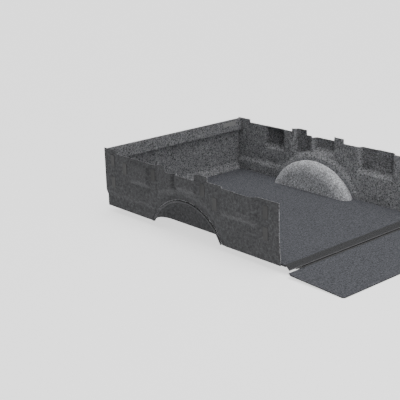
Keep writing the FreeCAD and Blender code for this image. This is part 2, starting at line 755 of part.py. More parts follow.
def patches(liner, name, middles, near, frame, across):
    """Loop patches on a panel's back and the hook patches they hold, each set one group of separate solids.

    across gives the two spans of a patch round its middle and the direction it stands off.
    """
    meet = f"{near} + loop_thick"
    layers = (("loop_patches", near, meet), ("hook_patches", meet, f"{meet} + hook_thick"))
    for layer, low, high in layers:
        solids = [across(liner, f"{name}_{layer}{i}", a, b, low, high) for i, (a, b) in enumerate(middles)]
        group = liner.join("Part::Compound", f"{name}_{layer}", solids)
        frame(liner, group)
        yield f"{name}_{layer}", group


def wall_patch(liner, name, station, height, low, high):
    span = (f"{station} - patch_wide / 2", f"{station} + patch_wide / 2")
    rise = (f"{height} - patch_long / 2", f"{height} + patch_long / 2")
    return liner.box(name, span, (low, high), rise)


def bulkhead_patch(liner, name, x, height, low, high):
    span = (f"{x} - patch_long / 2", f"{x} + patch_long / 2")
    rise = (f"{height} - patch_wide / 2", f"{height} + patch_wide / 2")
    return liner.box(name, span, (low, high), rise)


def mat_patch(liner, name, x, y, low, high):
    span = (f"{x} - patch_long / 2", f"{x} + patch_long / 2")
    depth = (f"{y} - patch_wide / 2", f"{y} + patch_wide / 2")
    return liner.box(name, span, depth, (f"-({high})", f"-({low})"))


def bulkhead_frame(liner, obj):
    return liner.place(obj, y="floor_length / 2")


def fasteners(liner):
    """Every set of hook and loop patches."""
    wall_back = "wall_face + carpet + backing"
    for label, group in patches(liner, "side", WALL_PATCHES, wall_back, wall_frame, wall_patch):
        liner.piece("right_" + label, group)
        liner.piece("left_" + label, liner.mirror(label + "_left", group))
    panels = [
        ("bulkhead", BULKHEAD_PATCHES, "bulk_recess + carpet + backing", bulkhead_frame, bulkhead_patch),
        ("header_band", BAND_PATCHES, "carpet + backing", bulkhead_frame, bulkhead_patch),
        ("tailgate", MAT_PATCHES, "mat_foam - tape_thick / 2", gate_frame, mat_patch),
    ]
    for name, middles, near, frame, across in panels:
        for label, group in patches(liner, name, middles, near, frame, across):
            liner.piece(label, group)


# ---- whole liner ---------------------------------------------------------------------------------


def check(doc, pieces):
    """Stops if any object failed, or a piece is not one or more valid closed solids."""
    for obj in doc.Objects:
        if "Invalid" in obj.State or "Error" in obj.State:
            raise RuntimeError(f"{obj.Name} failed: {obj.State}")
    for obj in pieces:
        shape = obj.Shape
        if shape.isNull() or not shape.isValid() or not shape.Solids:
            raise RuntimeError(f"{obj.Label} has no valid solid")


def main():
    liner = Liner()
    side_walls(liner)
    wheel_well_covers(liner)
    bulkhead(liner)
    tag(liner)
    floor_mat(liner)
    gap_cover(liner)
    tailgate_mat(liner)
    zipper_tapes_and_teeth(liner)
    zipper_ends(liner)
    slider(liner)
    pull_tab(liner)
    fasteners(liner)
    liner.doc.recompute()
    check(liner.doc, liner.pieces)
    os.makedirs("parts", exist_ok=True)
    for obj in liner.pieces:
        obj.Shape.exportStep(f"parts/{obj.Label}.step")
        box = obj.Shape.BoundBox
        print(
            f"{obj.Label}: {len(obj.Shape.Solids)} solids, {obj.Shape.Volume / 1e6:.3f} litres,"
            f" x {box.XMin:.1f} {box.XMax:.1f} y {box.YMin:.1f} {box.YMax:.1f} z {box.ZMin:.1f} {box.ZMax:.1f}"
        )


main()
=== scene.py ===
"""Looks of the pick-up bed liner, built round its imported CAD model. Metres, in the row frame."""

import math

import bpy
import numpy as np
from mathutils import Matrix, Vector, noise
from mathutils.bvhtree import BVHTree


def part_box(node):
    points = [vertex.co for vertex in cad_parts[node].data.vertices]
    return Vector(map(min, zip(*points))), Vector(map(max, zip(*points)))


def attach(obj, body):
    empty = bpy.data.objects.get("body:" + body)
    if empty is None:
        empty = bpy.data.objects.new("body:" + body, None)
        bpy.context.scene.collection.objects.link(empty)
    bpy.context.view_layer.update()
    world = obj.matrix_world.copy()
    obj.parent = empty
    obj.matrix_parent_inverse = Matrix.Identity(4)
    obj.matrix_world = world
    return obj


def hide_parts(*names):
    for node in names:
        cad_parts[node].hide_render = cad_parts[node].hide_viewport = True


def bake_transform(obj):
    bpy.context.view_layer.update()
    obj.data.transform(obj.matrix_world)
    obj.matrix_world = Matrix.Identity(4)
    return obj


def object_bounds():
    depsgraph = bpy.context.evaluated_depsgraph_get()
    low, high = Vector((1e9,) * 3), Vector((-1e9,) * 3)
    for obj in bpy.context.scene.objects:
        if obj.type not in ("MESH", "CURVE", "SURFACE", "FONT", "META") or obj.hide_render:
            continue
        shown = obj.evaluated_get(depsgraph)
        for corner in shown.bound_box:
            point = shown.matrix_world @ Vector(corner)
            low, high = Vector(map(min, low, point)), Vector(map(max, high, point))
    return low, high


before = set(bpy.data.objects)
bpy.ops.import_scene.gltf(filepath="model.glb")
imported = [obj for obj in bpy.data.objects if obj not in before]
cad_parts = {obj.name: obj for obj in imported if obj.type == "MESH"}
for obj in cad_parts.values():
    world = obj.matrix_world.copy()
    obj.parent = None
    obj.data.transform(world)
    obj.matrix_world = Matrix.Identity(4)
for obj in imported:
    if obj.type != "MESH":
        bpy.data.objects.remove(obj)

cad_low, cad_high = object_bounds()

MM = 0.001
CARPET = 5 * MM
BACKING = 3 * MM
AIR = 0.15 * MM  # between two layers that lie on each other
CARPET_CELL = 5 * MM  # grid step of the moulded carpet
EDGE_INSET = 0.2 * MM  # how far inside a panel's edge its first ray is cast
RAY_START, RAY_LENGTH = 50 * MM, 300 * MM  # rays start this far in front of a panel's box
MOULD_SOFTNESS = 5.5 * MM  # how much the press rounds every edge of the carpet
FIBRE_RISE = 0.9 * MM  # how far the carpet's tufts stand out
FELT_RISE = 0.5 * MM
WALL_FACE = 789 * MM  # inner face of the walls between their pockets, from the bed's middle
POCKET_DEPTH = 30 * MM
POCKET_BOTTOM_PAINTED_SHADE = 0.66  # painted shade: share of its brightness that the carpet keeps at the bottom of a pocket
STEP_HEIGHT = 8 * MM  # a bigger jump of a wall's top edge between two columns is a step
STEP_WIDTH = 0.4 * MM  # how close together the two columns at a step stand

# A wheel well cover is a profile swept round an axis below the floor.
COVER_INNER = 642 * MM  # its inner face, from the bed's middle
COVER_WALL = 773 * MM  # where it meets the wall
COVER_AXIS = -215 * MM
COVER_CROWN = 500 * MM  # radius of the crown about the axis
COVER_ROUNDING, COVER_SHOULDER = 60 * MM, 118 * MM  # width and height of the soft shoulder
COVER_FALL = 80 * MM  # radius of the roll from the crown down to the wall
COVER_RISE = 0.8 * MM  # how far its tufts stand out

# The floor is cut round the covers.
NOTCH = 641 * MM  # where the cut starts, from the bed's middle
NOTCH_HALF = 373 * MM  # half the length of the cut there

# The tailgate mat in its own axes, with the zipper's mid-line as X.
GATE_PIVOT = Vector((0, -1072 * MM, -22 * MM))
GATE_DROOP = math.radians(2.6)
GATE = Matrix.Translation(GATE_PIVOT) @ Matrix.Rotation(GATE_DROOP, 4, "X")
GATE_HALF, GATE_CORNER = 810 * MM, 22 * MM
GATE_FRONT, GATE_REAR = -9 * MM, -527 * MM
GATE_SKIN_LOW, GATE_SKIN_HIGH = 0.5 * MM, 4.5 * MM
GATE_EDGE, GATE_EDGE_DROP = 12 * MM, 3 * MM  # width and fall of the skin's softened edge

RIGHT, LEFT = 1, -1
ALONG_X, ALONG_Y = Vector((1, 0, 0)), Vector((0, 1, 0))


# ---- numbers read from the CAD model -------------------------------------------------------------


def cad_tree(node):
    """A ray-casting tree of a CAD node."""
    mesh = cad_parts[node].data
    return BVHTree.FromPolygons([v.co for v in mesh.vertices], [p.vertices for p in mesh.polygons])


def islands(node):
    """The points of each separate solid of a CAD node, one array for each."""
    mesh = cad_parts[node].data
    parent = list(range(len(mesh.vertices)))

    def root(i):
        while parent[i] != i:
            parent[i] = parent[parent[i]]
            i = parent[i]
        return i

    spots = {}
    for vertex in mesh.vertices:
        key = tuple(round(c, 5) for c in vertex.co)
        first = spots.setdefault(key, vertex.index)
        parent[root(vertex.index)] = root(first)
    for edge in mesh.edges:
        parent[root(edge.vertices[0])] = root(edge.vertices[1])
    groups = {}
    for vertex in mesh.vertices:
        groups.setdefault(root(vertex.index), []).append(vertex.co)
    return [np.array(group) for group in groups.values()]


# ---- meshes from grids of points -----------------------------------------------------------------


def make_object(name, points, faces, material, smooth=True):
    """A mesh object in the scene, with one material."""
    mesh = bpy.data.meshes.new(name)
    mesh.from_pydata([tuple(point) for point in points], [], faces)
    mesh.polygons.foreach_set("use_smooth", [smooth] * len(mesh.polygons))
    mesh.validate()
    mesh.update()
    made = bpy.data.objects.new(name, mesh)
    bpy.context.scene.collection.objects.link(made)
    mesh.materials.append(material)
    return made


def grid_normals(grid):
    """Unit normals of a grid of points, as d/drow x d/dcolumn."""
    along = np.gradient(grid, axis=0)
    across = np.gradient(grid, axis=1)
    normals = np.cross(along, across)
    return normals / np.maximum(np.linalg.norm(normals, axis=2, keepdims=True), 1e-12)


def shell_faces(rows, columns):
    """Faces of a closed sheet between two grids of points, the second numbered after the first."""
    under = rows * columns
    index = np.arange(under).reshape(rows, columns)
    faces = []
    for grid, flip in ((index, False), (index + under, True)):
        a, b, c, d = grid[:-1, :-1], grid[1:, :-1], grid[1:, 1:], grid[:-1, 1:]
        corners = (a, d, c, b) if flip else (a, b, c, d)
        faces.append(np.stack([corner.ravel() for corner in corners], axis=1))
    loop = np.concatenate([index[0, :-1], index[:-1, -1], index[-1, :0:-1], index[:0:-1, 0]])
    after = np.roll(loop, -1)
    faces.append(np.stack([loop, after, after + under, loop + under], axis=1))
    return np.concatenate(faces).tolist()


def grid_shell(name, face, back, material):
    """A closed sheet between two grids of points of the same shape."""
    points = np.concatenate([face.reshape(-1, 3), back.reshape(-1, 3)])
    return make_object(name, points, shell_faces(*face.shape[:2]), material)


def grid_tube(name, grid, material):
    """A closed tube through rings of points, capped at both ends."""
    rings, count = grid.shape[:2]
    index = np.arange(rings * count).reshape(rings, count)
    after = np.roll(index, -1, axis=1)
    sides = np.stack([index[:-1], after[:-1], after[1:], index[1:]], axis=-1).reshape(-1, 4).tolist()
    caps = [index[0, ::-1].tolist(), index[-1].tolist()]
    return make_object(name, grid.reshape(-1, 3), sides + caps, material)


def joined(parts):
    """Several (points, faces) meshes as one."""
    points, faces, start = [], [], 0
    for some_points, some_faces in parts:
        points.append(some_points)
        faces += [[i + start for i in face] for face in some_faces]
        start += len(some_points)
    return np.concatenate(points), faces


def finish_piece(piece, body, slot, *nodes):
    """Rides a piece on its body, and hides the CAD nodes that it stands for. Its material slot is not used.
    """
    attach(piece, body)
    if nodes:
        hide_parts(*nodes)
    return piece


def bumps(grid, size, seed):
    """Smooth noise between -1 and 1 at each point of a grid, with lumps of about the given size."""
    flat = grid.reshape(-1, 3) / size + seed
    return np.array([noise.noise(Vector(p)) for p in flat]).reshape(grid.shape[:2])


def noise_at(flat, size, seed):
    """Smooth noise between -1 and 1 at each (x, y) of a list, with lumps of about the given size."""
    return np.array([noise.noise(Vector((x / size, y / size, seed))) for x, y in flat])


def fibres(grid, seed, rise=FIBRE_RISE):
    """How far tufts stand out of needle-punched carpet, ready to scale a grid of directions."""
    tufts = bumps(grid, 9 * MM, seed)
    swells = bumps(grid, 21 * MM, seed + 40)
    return (rise * (0.6 * tufts + 0.4 * swells))[..., None]


def mirrored(grid):
    """A grid on the other side of the bed's middle."""
    return (grid * np.array([-1, 1, 1]))[:, ::-1]


# ---- materials -----------------------------------------------------------------------------------


def set_stops(ramp, stops):
    """Gives a colour ramp its (position, grey or colour) stops."""
    while len(ramp.elements) < len(stops):
        ramp.elements.new(0.5)
    for element, (position, colour) in zip(ramp.elements, stops):
        element.position = position
        element.color = (*colour, 1) if isinstance(colour, tuple) else (colour, colour, colour, 1)


class Shader:
    """A node material with a Principled shader, and short ways to wire textures into it."""

    def __init__(self, name, roughness, **constants):
        self.material = bpy.data.materials.new(name)
        self.material.use_nodes = True
        self.tree = self.material.node_tree
        self.shader = self.tree.nodes["Principled BSDF"]
        self.shader.inputs["Roughness"].default_value = roughness
        for socket, value in constants.items():
            self.shader.inputs[socket.replace("_", " ")].default_value = value
        self.place = self.node("ShaderNodeTexCoord").outputs["Object"]

    def node(self, kind, **settings):
        made = self.tree.nodes.new(kind)
        for key, value in settings.items():
            setattr(made, key, value)
        return made

    def link(self, source, target):
        self.tree.links.new(source, target)

    def texture(self, kind, output, settings, **options):
        """A texture in the object's own axes."""
        made = self.node(kind, **options)
        for socket, value in settings.items():
            made.inputs[socket].default_value = value
        self.link(self.place, made.inputs["Vector"])
        return made.outputs[output]

    def noise(self, scale, detail=2.0, roughness=0.5, distortion=0.0):
        """Cloudy noise."""
        settings = {"Scale": scale, "Detail": detail, "Roughness": roughness, "Distortion": distortion}
        return self.texture("ShaderNodeTexNoise", "Fac", settings)

    def cells(self, scale):
        """Round cells, darkest in their middles."""
        return self.texture("ShaderNodeTexVoronoi", "Distance", {"Scale": scale})

    def ribs(self, scale, direction):
        """Slightly uneven parallel ribs."""
        settings = {"Scale": scale, "Distortion": 0.6, "Detail": 1.0}
        return self.texture("ShaderNodeTexWave", "Fac", settings, bands_direction=direction)

    def ramp(self, value, *stops):
        """A colour ramp through (position, grey or colour) stops."""
        made = self.node("ShaderNodeValToRGB")
        set_stops(made.color_ramp, stops)
        self.link(value, made.inputs["Fac"])
        return made.outputs["Color"]

    def multiplied(self, first, second):
        """Two colours multiplied by each other; the node's sockets 6, 7 and 2 are the coloured ones."""
        made = self.node("ShaderNodeMix", data_type="RGBA", blend_type="MULTIPLY")
        made.inputs["Factor"].default_value = 1.0
        self.link(first, made.inputs[6])
        self.link(second, made.inputs[7])
        return made.outputs[2]

    def sum(self, first, weight_first, second, weight_second):
        """A weighted sum of two values."""
        added = self.node("ShaderNodeMath", operation="ADD")
        for place, value, weight in ((0, first, weight_first), (1, second, weight_second)):
            scaled = self.node("ShaderNodeMath", operation="MULTIPLY")
            scaled.inputs[1].default_value = weight
            self.link(value, scaled.inputs[0])
            self.link(scaled.outputs[0], added.inputs[place])
        return added.outputs[0]

    def colour(self, source):
        self.link(source, self.shader.inputs["Base Color"])

    def bump(self, height, distance, strength):
        made = self.node("ShaderNodeBump")
        made.inputs["Strength"].default_value = strength
        made.inputs["Distance"].default_value = distance
        self.link(height, made.inputs["Height"])
        self.link(made.outputs["Normal"], self.shader.inputs["Normal"])


def tinted(grey, blue=0.05):
    """A grey that leans slightly to blue."""
    return (grey, grey * (1 + blue * 0.2), grey * (1 + blue))


def carpet(name, dark, light):
    """Needle-punched carpet: dark and light fibres felted together in mottled tufts.

    It is painted darker the deeper it lies in a pocket of the walls: painted shade.
    """
    made = Shader(name, 0.96, Sheen_Weight=0.05, Sheen_Roughness=0.6, Specular_IOR_Level=0.1)
    tufts = made.noise(78, detail=7.0, roughness=0.82, distortion=0.9)
    strands = made.noise(620, detail=4.0, roughness=0.7, distortion=1.4)
    tone = made.sum(tufts, 0.7, strands, 0.3)
    middle = dark * 0.6 + light * 0.4
    mottled = made.ramp(tone, (0.452, tinted(dark)), (0.5, tinted(middle)), (0.552, tinted(light)))
    patches = made.ramp(made.noise(9), (0.3, 0.84), (0.7, 1.0))
    # painted shade: the carpet's colour is darkened by how deep each point lies in a pocket
    painted_pocket_shade = made.node("ShaderNodeAttribute", attribute_name="painted_pocket_shade").outputs["Fac"]
    shade = made.ramp(painted_pocket_shade, (0.0, 1.0), (1.0, POCKET_BOTTOM_PAINTED_SHADE))
    made.colour(made.multiplied(made.multiplied(mottled, patches), shade))
    made.bump(made.sum(strands, 0.6, made.cells(300), 0.4), 1.6 * MM, 0.8)
    return made.material


def mat_skin(name, grey):
    """Short dense pile on a foam mat, with faint ribs of its backing cloth showing through."""
    made = Shader(name, 0.95, Specular_IOR_Level=0.08)
    pile = made.noise(640, detail=4.0, roughness=0.7, distortion=0.8)
    cloudy = made.noise(88, detail=7.0, roughness=0.86, distortion=0.5)
    tone = made.sum(pile, 0.3, cloudy, 0.7)
    blue = 0.14
    made.colour(made.ramp(tone, (0.43, tinted(grey * 0.4, blue)), (0.57, tinted(grey * 1.62, blue))))
    cloth = made.sum(made.ribs(95, "X"), 0.5, made.ribs(95, "Y"), 0.5)
    made.bump(made.sum(pile, 0.7, cloth, 0.3), 0.9 * MM, 0.7)
    return made.material


def foam(name, grey):
    """Closed-cell foam with its pores showing."""
    made = Shader(name, 0.85, Specular_IOR_Level=0.25)
    pores = made.cells(420)
    made.colour(made.ramp(pores, (0.1, tinted(grey * 0.5)), (0.6, tinted(grey * 1.3))))
    made.bump(made.sum(pores, 0.7, made.noise(60), 0.3), 0.8 * MM, 0.6)
    return made.material


def rough_felt(name, grey):
    """Rough felt: the back of the moulded panels, and the loop patches on it."""
    made = Shader(name, 0.97, Specular_IOR_Level=0.1)
    hairs = made.noise(260, detail=3.0, roughness=0.75)
    clumps = made.noise(48, detail=4.0, roughness=0.7)
    tone = made.sum(hairs, 0.5, clumps, 0.5)
    made.colour(made.ramp(tone, (0.38, tinted(grey * 0.55)), (0.5, tinted(grey)), (0.64, tinted(grey * 1.8))))
    made.bump(hairs, 1.2 * MM, 0.7)
    return made.material


def ribbed_fabric(name, grey):
    """Woven tape or binding with ribs across it."""
    made = Shader(name, 0.85, Specular_IOR_Level=0.15)
    across = made.ribs(279, "X")
    tone = made.sum(across, 0.5, made.noise(900), 0.5)
    made.colour(made.ramp(tone, (0.3, tinted(grey * 0.6)), (0.7, tinted(grey * 1.35))))
    made.bump(across, 0.35 * MM, 0.8)
    return made.material


def satin_metal(name, grey):
    """Satin lacquered zinc, rubbed brighter in places."""
    made = Shader(name, 0.35, Metallic=0.9)
    rubbed = made.noise(160, detail=4.0, roughness=0.7)
    made.colour(made.ramp(rubbed, (0.35, grey * 0.7), (0.7, grey * 1.5)))
    made.link(made.ramp(rubbed, (0.3, 0.45), (0.7, 0.28)), made.shader.inputs["Roughness"])
    made.bump(made.noise(900), 0.05 * MM, 0.4)
    return made.material


def moulded_plastic(name, grey, roughness=0.5):
    """Fine-grained moulded plastic."""
    made = Shader(name, roughness, Specular_IOR_Level=0.4)
    grain = made.noise(700, detail=3.0)
    made.colour(made.ramp(grain, (0.3, grey * 0.82), (0.7, grey * 1.12)))
    made.bump(grain, 0.08 * MM, 0.5)
    return made.material


CARPET_MATERIAL = carpet("needle_punched_carpet", dark=0.085, light=0.55)
COVER_MATERIAL = carpet("light_needle_punched_carpet", dark=0.21, light=1.0)
SKIN_MATERIAL = mat_skin("floor_mat_pile", 0.1)
FOAM_MATERIAL = foam("closed_cell_foam", 0.03)
BACKING_MATERIAL = rough_felt("panel_back_felt", 0.06)
GAP_MATERIAL = ribbed_fabric("gap_cover_fabric", 0.075)
HEM_MATERIAL = ribbed_fabric("hem_binding", 0.15)
TAPE_MATERIAL = ribbed_fabric("zipper_tape", 0.03)
TEETH_MATERIAL = moulded_plastic("zipper_teeth", 0.13)
TAG_MATERIAL = moulded_plastic("blank_tag", 0.4, roughness=0.4)
HOOK_MATERIAL = moulded_plastic("hook_tape", 0.03, roughness=0.6)
LOOP_MATERIAL = rough_felt("loop_tape", 0.03)
METAL_MATERIAL = satin_metal("slider_metal", 0.3)
THREAD_MATERIAL = ribbed_fabric("stitching_thread", 0.1)


# ---- side walls ----------------------------------------------------------------------------------


def blurred(field, cell, softness):
    """A field with holes (nan), smoothed over a distance without letting the holes in."""
    reach = int(3 * softness / cell) + 1
    steps = np.arange(-reach, reach + 1) * cell
    kernel = np.exp(-0.5 * (steps / softness) ** 2)
    there = np.where(np.isnan(field), 0.0, 1.0)
    value = np.where(np.isnan(field), 0.0, field)
    for axis in (0, 1):
        there = np.apply_along_axis(np.convolve, axis, there, kernel, "same")
        value = np.apply_along_axis(np.convolve, axis, value, kernel, "same")
    return value / np.maximum(there, 1e-9)


class WallSurface:
    """The inner face of the right-hand wall as a distance from the middle plane at every (y, z)."""

    def __init__(self, node):
        self.tree = cad_tree(node)
        self.low, self.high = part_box(node)
        self.ys = np.arange(self.low.y + EDGE_INSET, self.high.y, CARPET_CELL)
        self.zs = np.arange(self.low.z + EDGE_INSET, self.high.z, CARPET_CELL)
        raw = np.array([[self.cast(y, z) for z in self.zs] for y in self.ys])
        self.field = blurred(raw, CARPET_CELL, MOULD_SOFTNESS)

    def cast(self, y, z):
        """How far from the middle a ray from inside the bed meets the wall, or nan where there is none."""
        start = Vector((self.low.x - RAY_START, y, z))
        hit = self.tree.ray_cast(start, ALONG_X, RAY_LENGTH)[0]
        return hit.x if hit else math.nan

    def solid_at(self, y, z):
        """Whether the panel is there at a station and height."""
        return not math.isnan(self.cast(y, z))

    def edge(self, y, inside, outside):
        """The height where the panel stops at a station, between one inside it and one outside."""
        for _ in range(12):
            middle = (inside + outside) / 2
            if self.solid_at(y, middle):
                inside = middle
            else:
                outside = middle
        return inside

    def span(self, y):
        """The panel's lowest and highest points at a station."""
        hits = [z for z in self.zs if self.solid_at(y, z)]
        low = hits[0] if hits[0] < self.zs[1] else self.edge(y, hits[0], hits[0] - CARPET_CELL)
        high = self.edge(y, hits[-1], hits[-1] + CARPET_CELL)
        return (self.low.z if low < self.zs[1] else low), high

    def stations(self):
        """Columns of the grid, with two close together at each step of the top edge."""
        columns = [(y, *self.span(y)) for y in self.ys]
        out = [columns[0]]
        for before, after in zip(columns, columns[1:]):
            if abs(after[2] - before[2]) > STEP_HEIGHT:
                near, far = before, after
                while far[0] - near[0] > STEP_WIDTH:
                    halfway = (near[0] + far[0]) / 2
                    middle = (halfway, *self.span(halfway))
                    if abs(middle[2] - near[2]) < STEP_HEIGHT / 2:
                        near = middle
                    else:
                        far = middle
                out += [near, far]
            out.append(after)
        return out

    def at(self, ys, zs):
        """The smoothed surface at arrays of stations and heights, blended between four grid points."""
        just_short = 1.001  # keeps the next grid point inside the grid
        u = np.clip((ys - self.ys[0]) / CARPET_CELL, 0, len(self.ys) - just_short)
        v = np.clip((zs - self.zs[0]) / CARPET_CELL, 0, len(self.zs) - just_short)
        i, j = u.astype(int), v.astype(int)
        a, b = u - i, v - j
        f = self.field
        low = f[i, j] * (1 - a) + f[i + 1, j] * a
        high = f[i, j + 1] * (1 - a) + f[i + 1, j + 1] * a
        return low * (1 - b) + high * b


def wall_grid(surface):
    """Points of a wall's smoothed face, fitted to its outline."""
    columns = np.array(surface.stations())
    rows = int((surface.high.z - surface.low.z) / CARPET_CELL)
    part = np.linspace(0, 1, rows)
    ys = np.repeat(columns[:, :1], rows, axis=1)
    zs = columns[:, 1:2] + (columns[:, 2:3] - columns[:, 1:2]) * part
    return np.stack([surface.at(ys, zs), ys, zs], axis=2)


def side_walls():
    """Moulded carpet of both walls, and the felt on its back."""
    carpet_base = wall_grid(WallSurface("right_side_carpet"))
    carpet_out = grid_normals(carpet_base)
    felt_base = wall_grid(WallSurface("right_side_foam_backing"))
    felt_out = grid_normals(felt_base)
    # painted shade: how deep each point lies in a pocket, from none at the wall's face to full at the
    # pocket's depth
    painted_pocket_shade = np.clip((np.abs(carpet_base[..., 0]) - WALL_FACE) / POCKET_DEPTH, 0, 1)
    for side, word in ((RIGHT, "right"), (LEFT, "left")):
        face = carpet_base - carpet_out * fibres(carpet_base, seed=3.0 * side)
        back = carpet_base + carpet_out * CARPET
        node = f"{word}_side_carpet"
        piece = side_shell(node + "_moulded", side, back, face, CARPET_MATERIAL)
        paint_pocket_shade(piece, painted_pocket_shade[:, ::-1] if side == LEFT else painted_pocket_shade)
        finish_piece(piece, "bed_liner", "carpet", node)
        face = felt_base + felt_out * AIR
        nap = fibres(felt_base, seed=7.0 * side, rise=FELT_RISE)
        back = felt_base + felt_out * (AIR + BACKING + nap)
        node = f"{word}_side_foam_backing"
        piece = side_shell(node + "_moulded", side, back, face, BACKING_MATERIAL)
        finish_piece(piece, "bed_liner", "foam", node)


def side_shell(name, side, first, second, material):
    """A shell drawn for the right-hand side, on the side asked for."""
    if side == LEFT:
        first, second = mirrored(first), mirrored(second)
    return grid_shell(name, first, second, material)


def paint_pocket_shade(piece, depth):
    """Stores how deep in a pocket each of a shell's grid points lies, for both of its sides, as the amount of
    painted shade there.
    """
    values = np.concatenate([depth.ravel(), depth.ravel()])
    piece.data.attributes.new("painted_pocket_shade", "FLOAT", "POINT").data.foreach_set("value", values)


# ---- wheel well covers ---------------------------------------------------------------------------


def cover_profile():
    """Points (x, radius) from a cover's inner face at the floor, over its shoulder, down to the wall."""
    crown_x = COVER_INNER + COVER_ROUNDING
    flat = COVER_CROWN - COVER_SHOULDER
    straight = np.linspace(-COVER_AXIS + 0.3 * MM, flat, int((flat + COVER_AXIS) / CARPET_CELL))
    profile = [(COVER_INNER, radius) for radius in straight]
    over = 1.3 * COVER_SHOULDER  # the shoulder's length along its arc, nearly enough
    for turn in np.linspace(0, math.pi / 2, int(over / CARPET_CELL))[1:]:
        profile.append((crown_x - COVER_ROUNDING * math.cos(turn), flat + COVER_SHOULDER * math.sin(turn)))
    fall_end = math.asin((COVER_WALL - crown_x) / COVER_FALL)
    for turn in np.linspace(0, fall_end, int(COVER_FALL * fall_end / CARPET_CELL))[1:]:
        radius = COVER_CROWN - COVER_FALL + COVER_FALL * math.cos(turn)
        profile.append((crown_x + COVER_FALL * math.sin(turn), radius))
    return profile


def well_covers():
    """Both covers, each a carpet shell with felt under it that ends in a flange behind the wall."""
    low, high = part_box("right_wheel_well_cover")
    axis_y = (low.y + high.y) / 2
    count = int((high.y - low.y) / CARPET_CELL)
    profile = cover_profile()
    edge = profile[-1][1]
    flange_x = COVER_WALL + 5.6 * MM
    flange = [(flange_x, radius) for radius in np.linspace(edge + 2 * MM, edge + 11 * MM, 4)]
    base, outward = swept(np.array(profile), axis_y, count)
    felt_base, felt_outward = swept(np.array(profile + flange), axis_y, count)
    carpet_under, felt_over, felt_under = 4.2 * MM, 4.4 * MM, 6.6 * MM
    for side, word in ((RIGHT, "right"), (LEFT, "left")):
        node = f"{word}_wheel_well_cover"
        face = above_floor(base + outward * fibres(base, seed=11.0 * side, rise=COVER_RISE))
        back = above_floor(base - outward * carpet_under)
        piece = side_shell(node + "_moulded", side, face, back, COVER_MATERIAL)
        finish_piece(piece, "bed_liner", "cover_carpet", node)
        nap = fibres(felt_base, seed=13.0 * side, rise=0.4 * MM)
        face = above_floor(felt_base - felt_outward * felt_over)
        back = above_floor(felt_base - felt_outward * (felt_under + nap))
        piece = side_shell(node + "_felt", side, face, back, BACKING_MATERIAL)
        finish_piece(piece, "bed_liner", "foam", node)


def above_floor(grid):
    """A grid with the points that fell below the floor lifted onto it."""
    grid[..., 2] = np.maximum(grid[..., 2], 0)
    return grid


def swept(profile, axis_y, count):
    """Points and outward normals of a profile of (x, radius) swept round the axis, above the floor."""
    half_turn = np.arccos(np.clip(-COVER_AXIS / profile[:, 1], -1, 1))
    angle = half_turn[:, None] * np.linspace(-1, 1, count)
    x = np.repeat(profile[:, :1], count, axis=1)
    y = axis_y + profile[:, 1:2] * np.sin(angle)
    z = COVER_AXIS + profile[:, 1:2] * np.cos(angle)
    return np.stack([x, y, z], axis=2), cover_normals(profile, angle)


def cover_normals(profile, angle):
    """Outward unit normals of the swept cover."""
    step = np.gradient(profile, axis=0)
    step /= np.linalg.norm(step, axis=1, keepdims=True)
    out_x, out_r = -step[:, 1], step[:, 0]
    x = np.repeat(out_x[:, None], angle.shape[1], axis=1)
    return np.stack([x, out_r[:, None] * np.sin(angle), out_r[:, None] * np.cos(angle)], axis=2)


# ---- bulkhead ------------------------------------------------------------------------------------


def smoothed_path(points, cell, softness):
    """A polyline in equal steps, with its corners rounded but its ends kept."""
    finer = 4
    pitch = cell / finer
    travelled = np.concatenate([[0], np.cumsum(np.linalg.norm(np.diff(points, axis=0), axis=1))])
    fine = np.arange(0, travelled[-1], pitch)
    path = np.stack([np.interp(fine, travelled, points[:, i]) for i in range(2)], axis=1)
    reach = int(3 * softness / pitch)
    kernel = np.exp(-0.5 * (np.arange(-reach, reach + 1) * pitch / softness) ** 2)
    kernel /= kernel.sum()
    before = 2 * path[0] - path[reach:0:-1]
    after = 2 * path[-1] - path[-2 : -reach - 2 : -1]
    padded = np.concatenate([before, path, after])
    soft = np.stack([np.convolve(padded[:, i], kernel, "valid") for i in range(2)], axis=1)
    return soft[::finer]


def bulkhead_section(low, high):
    """The face of the bulkhead as (y, z) points from the floor to the top of the header band."""
    tree = cad_tree("bulkhead_carpet")
    points = []
    for z in np.arange(low.z + 0.3 * MM, high.z, 1 * MM):
        hit = tree.ray_cast(Vector((0, low.y - RAY_START, z)), ALONG_Y, RAY_LENGTH)[0]
        if hit:
            points.append((hit.y, z))
    points[0] = (points[0][0], low.z)
    points.append((points[-1][0], high.z))
    return smoothed_path(np.array(points), CARPET_CELL, softness=5 * MM)


